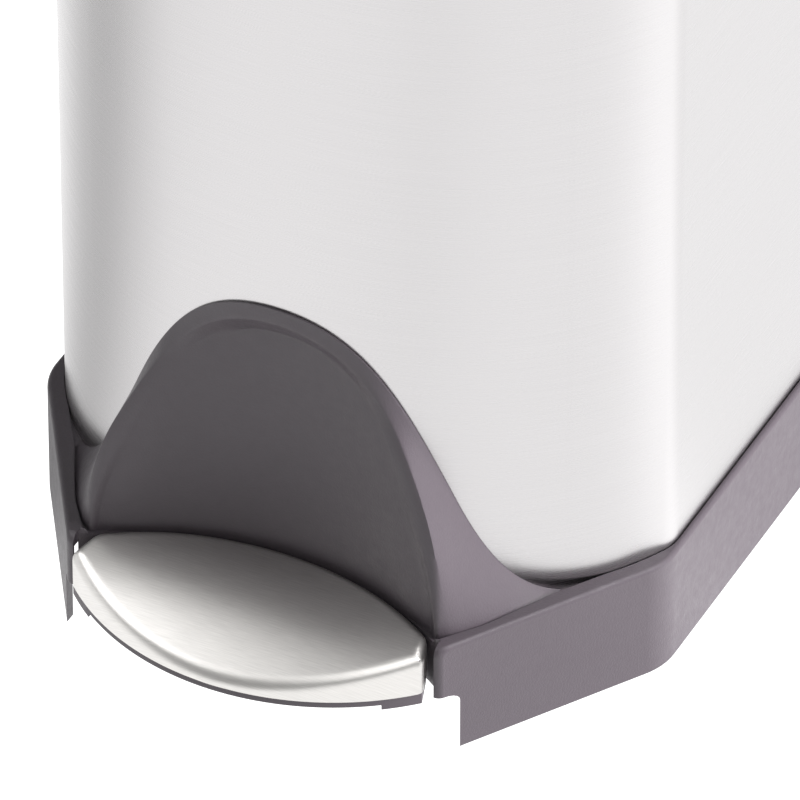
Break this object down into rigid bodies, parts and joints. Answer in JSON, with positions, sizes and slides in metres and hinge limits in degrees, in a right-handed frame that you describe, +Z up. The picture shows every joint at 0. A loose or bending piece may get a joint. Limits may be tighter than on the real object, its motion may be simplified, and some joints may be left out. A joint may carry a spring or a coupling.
{
  "type": "pedal trash can",
  "caption": "Slim bow-fronted brushed steel trash can with a front pedal that lifts two lids parting along the middle, over a removable inner bucket.",
  "frame": {"origin": "centre of the outer box on the floor, under the feet", "axes": "+Z up, the pedal faces -Y, +X across the can from left to right as seen from the pedal side looking along +Y"},
  "size_m": [0.244, 0.478, 0.595],
  "materials": {
    "body_steel": "fine horizontal brushed stainless steel",
    "lid_steel": "fine brushed stainless steel",
    "pedal_steel": "brushed stainless steel, grain across the pedal",
    "base_plastic": "finely textured moulded plastic, warm dark grey",
    "trim_plastic": "finely textured moulded plastic, warm dark grey",
    "collar_plastic": "finely textured moulded plastic, dark grey",
    "lid_plastic": "smooth moulded plastic, near black",
    "inner_plastic": "plain moulded plastic",
    "bucket_plastic": "smooth moulded polypropylene, black",
    "pedal_plastic": "moulded plastic, warm dark grey",
    "guide_plastic": "slippery acetal, black",
    "zinc_steel": "bright zinc plated pressed steel",
    "screw_steel": "zinc plated fasteners and pins",
    "chrome_rod": "polished piston rod",
    "rubber": "black rubber"
  },
  "bodies": {
    "root": {"base_frame": "base_plastic", "rubber_feet": "rubber", "base_screws": "screw_steel", "pedal_axle": "screw_steel", "axle_clips": "screw_steel", "lever_rest_pad": "rubber", "body_shell": "body_steel", "arch_trim": "trim_plastic", "rod_channel": "inner_plastic", "rod_guides": "guide_plastic", "damper_cylinder": "guide_plastic", "damper_clips": "inner_plastic", "rear_cover": "trim_plastic", "rear_cover_screws": "screw_steel", "top_collar": "collar_plastic", "collar_screws": "screw_steel", "mechanism_cover": "collar_plastic", "lid_bumpers": "rubber", "inner_bucket": "bucket_plastic"},
    "pedal": {"pedal_cover": "pedal_steel", "pedal_base": "pedal_plastic", "pedal_lever": "zinc_steel", "pedal_screws": "screw_steel", "lever_pin": "screw_steel"},
    "lift": {"push_rod": "zinc_steel", "rod_foot": "guide_plastic", "lift_yoke": "zinc_steel", "damper_rod": "chrome_rod"},
    "left_lid": {"left_lid_skin": "lid_steel", "left_lid_frame": "lid_plastic", "left_hinge_rod": "zinc_steel", "left_crank": "zinc_steel"},
    "right_lid": {"right_lid_skin": "lid_steel", "right_lid_frame": "lid_plastic", "right_hinge_rod": "zinc_steel", "right_crank": "zinc_steel"}
  },
  "joints": [
    {"name": "pedal_press", "type": "hinge", "parent": "root", "child": "pedal", "pos_m": [0, 0.019, 0.0215], "axis": [1, 0, 0], "range_deg": [0, 5.6]},
    {"name": "rod_lift", "type": "slide", "parent": "root", "child": "lift", "axis": [0, 0, 1], "range_m": [0, 0.01944]},
    {"name": "left_lid_hinge", "type": "hinge", "parent": "root", "child": "left_lid", "pos_m": [-0.1125, 0.039, 0.5755], "axis": [0, -1, 0], "range_deg": [0, 80]},
    {"name": "right_lid_hinge", "type": "hinge", "parent": "root", "child": "right_lid", "pos_m": [0.1125, 0.039, 0.5755], "axis": [0, 1, 0], "range_deg": [0, 80]}
  ],
  "couplings": [
    {"joint": "rod_lift", "follows": "pedal_press", "m_per_rad": 0.19892},
    {"joint": "left_lid_hinge", "follows": "pedal_press", "ratio": 14.286},
    {"joint": "right_lid_hinge", "follows": "pedal_press", "ratio": 14.286}
  ]
}
